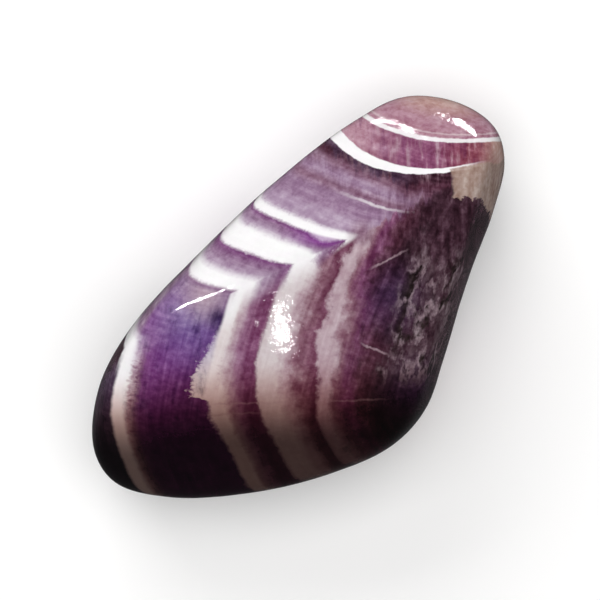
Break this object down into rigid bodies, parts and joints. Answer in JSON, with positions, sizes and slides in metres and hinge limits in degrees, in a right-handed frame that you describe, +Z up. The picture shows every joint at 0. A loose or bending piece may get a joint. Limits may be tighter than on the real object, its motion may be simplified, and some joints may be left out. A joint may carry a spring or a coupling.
{
  "type": "tumbled chevron amethyst stone",
  "caption": "Polished tumbled pebble of chevron amethyst, long and blunt-ended, with nested white and purple V bands, lying on a flat worn face.",
  "frame": {"origin": "centre of the stone's bounding box in plan, on the surface it rests on", "axes": "+X along the stone towards its narrow end, +Y towards its bevelled side, +Z up, away from the rest face"},
  "size_m": [0.0402, 0.0212, 0.0163],
  "materials": {
    "banded_amethyst": "polished"
  },
  "bodies": {
    "root": {"stone": "banded_amethyst"}
  },
  "joints": []
}
